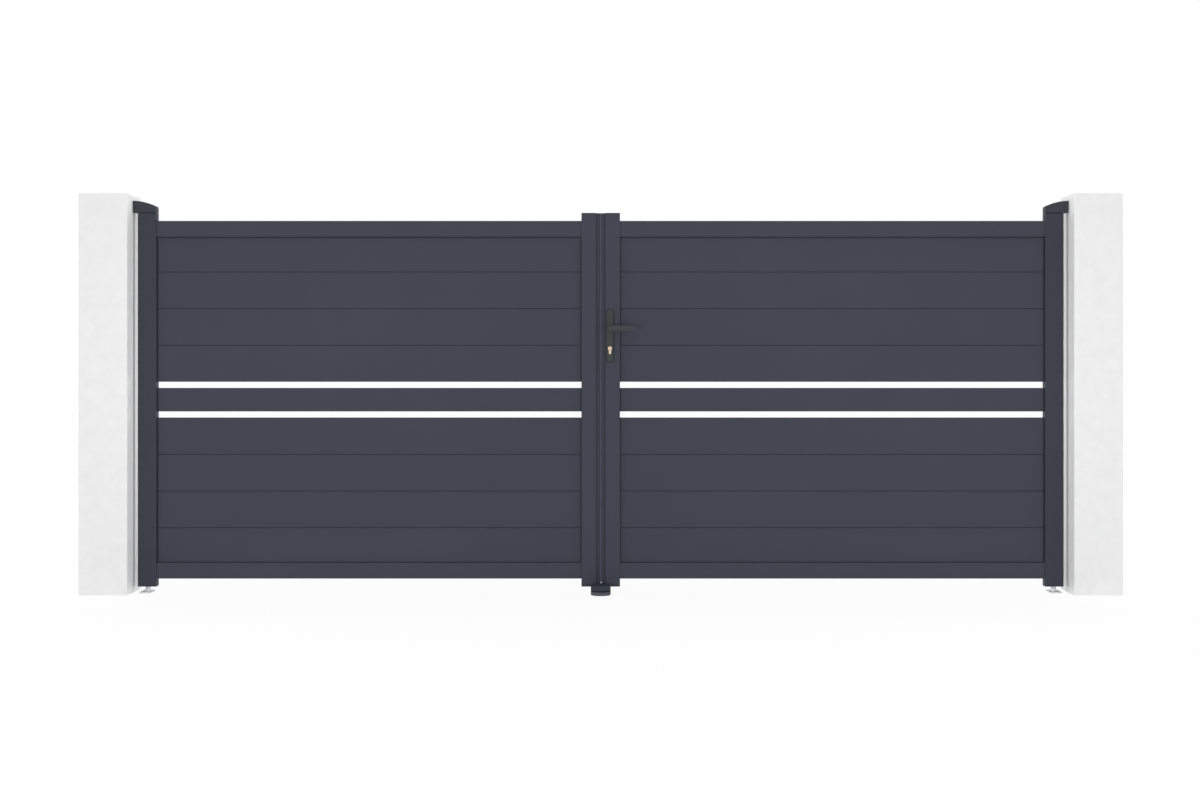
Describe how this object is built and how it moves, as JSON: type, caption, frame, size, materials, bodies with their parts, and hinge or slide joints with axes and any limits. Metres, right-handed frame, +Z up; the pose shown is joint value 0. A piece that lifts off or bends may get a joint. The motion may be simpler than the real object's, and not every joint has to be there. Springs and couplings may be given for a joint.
{
  "type": "double swing gate",
  "caption": "Double swing gate of coated aluminium leaves with level boards and see-through slots, a lever handle and lock, hung between white rendered pillars.",
  "frame": {"origin": "centre of the left pillar's base, on the ground", "axes": "+X along the gateway towards the right pillar as seen from the street, +Y into the drive, the way the leaves open, +Z up"},
  "size_m": [4.41, 0.253, 1.698],
  "materials": {
    "powder_coated_aluminium": "matte",
    "coated_cast_aluminium": "matte",
    "white_render": "matte",
    "zinc_plated_steel": "satin",
    "dark_nylon": "matte",
    "black_rubber": "matte",
    "satin_brass": "satin",
    "dark_coated_zinc_alloy": "satin"
  },
  "bodies": {
    "piers": {"left_pillar": "white_render", "left_top_bracket": "coated_cast_aluminium", "left_floor_pivot": "zinc_plated_steel", "right_pillar": "white_render", "right_top_bracket": "coated_cast_aluminium", "right_floor_pivot": "zinc_plated_steel", "stop_base": "dark_nylon", "stop_cap": "black_rubber"},
    "left_leaf": {"left_hinge_stile": "powder_coated_aluminium", "left_meeting_stile": "powder_coated_aluminium", "left_top_rail": "powder_coated_aluminium", "left_bottom_rail": "powder_coated_aluminium", "left_upper_board_1": "powder_coated_aluminium", "left_upper_board_2": "powder_coated_aluminium", "left_upper_board_3": "powder_coated_aluminium", "left_upper_board_4": "powder_coated_aluminium", "left_middle_slat": "powder_coated_aluminium", "left_lower_board_1": "powder_coated_aluminium", "left_lower_board_2": "powder_coated_aluminium", "left_lower_board_3": "powder_coated_aluminium", "left_lower_board_4": "powder_coated_aluminium", "left_end_caps": "dark_nylon", "meeting_seal": "black_rubber", "lock_keep": "zinc_plated_steel"},
    "right_leaf": {"right_hinge_stile": "powder_coated_aluminium", "right_meeting_stile": "powder_coated_aluminium", "right_top_rail": "powder_coated_aluminium", "right_bottom_rail": "powder_coated_aluminium", "right_upper_board_1": "powder_coated_aluminium", "right_upper_board_2": "powder_coated_aluminium", "right_upper_board_3": "powder_coated_aluminium", "right_upper_board_4": "powder_coated_aluminium", "right_middle_slat": "powder_coated_aluminium", "right_lower_board_1": "powder_coated_aluminium", "right_lower_board_2": "powder_coated_aluminium", "right_lower_board_3": "powder_coated_aluminium", "right_lower_board_4": "powder_coated_aluminium", "right_end_caps": "dark_nylon", "front_handle_plate": "dark_coated_zinc_alloy", "back_handle_plate": "dark_coated_zinc_alloy", "lock_cylinder": "satin_brass", "lock_fore_plate": "zinc_plated_steel"},
    "lever_handle": {"front_lever": "dark_coated_zinc_alloy", "back_lever": "dark_coated_zinc_alloy", "spindle": "zinc_plated_steel"}
  },
  "joints": [
    {"name": "left_leaf_swing", "type": "hinge", "parent": "piers", "child": "left_leaf", "pos_m": [0.1637, 0, 0.026], "axis": [0, 0, 1], "range_deg": [0, 90]},
    {"name": "right_leaf_swing", "type": "hinge", "parent": "piers", "child": "right_leaf", "pos_m": [4.0413, 0, 0.026], "axis": [0, 0, -1], "range_deg": [0, 90]},
    {"name": "lever_turn", "type": "hinge", "parent": "right_leaf", "child": "lever_handle", "pos_m": [2.1419, 0, 1.129], "axis": [0, 1, 0], "range_deg": [0, 45], "stiffness_Nm_per_rad": 1, "springref_deg": -22.92}
  ]
}
